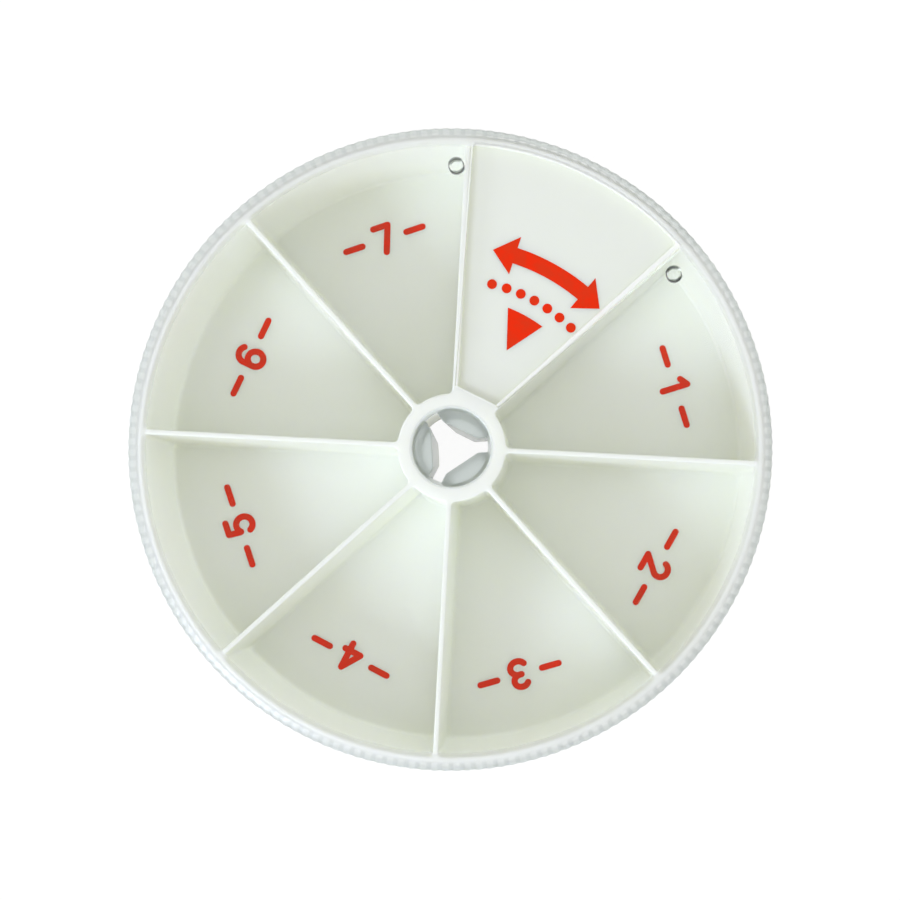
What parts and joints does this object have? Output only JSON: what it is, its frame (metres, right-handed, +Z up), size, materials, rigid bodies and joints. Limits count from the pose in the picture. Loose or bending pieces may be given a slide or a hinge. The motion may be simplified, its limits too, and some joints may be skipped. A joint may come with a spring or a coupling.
{
  "type": "weekly pill organizer",
  "caption": "Round weekly pill organizer: white tray of wedge compartments round a hub, with a clear ribbed lid that turns to bring its wedge window over one compartment.",
  "frame": {"origin": "middle of the underside, on the axis the lid turns on", "axes": "+Z up along the lid's axis; +X along the divider between the first and the second day's compartments, so the closed sector lies between +X+Y (45 degrees) and +Y (90 degrees)"},
  "size_m": [0.09, 0.09, 0.0195],
  "materials": {
    "tray_white": "white moulded polypropylene, satin to soft gloss, very slightly translucent, plain red numbers printed on the compartment floors",
    "lid_clear": "clear moulded polystyrene, polished, with fine upright ribs on the skirt"
  },
  "bodies": {
    "tray": {"tray": "tray_white"},
    "lid": {"lid": "lid_clear"}
  },
  "joints": [
    {"name": "lid_turn", "type": "hinge", "parent": "tray", "child": "lid", "pos_m": [0, 0, 0.0179], "axis": [0, 0, 1], "continuous": true}
  ]
}
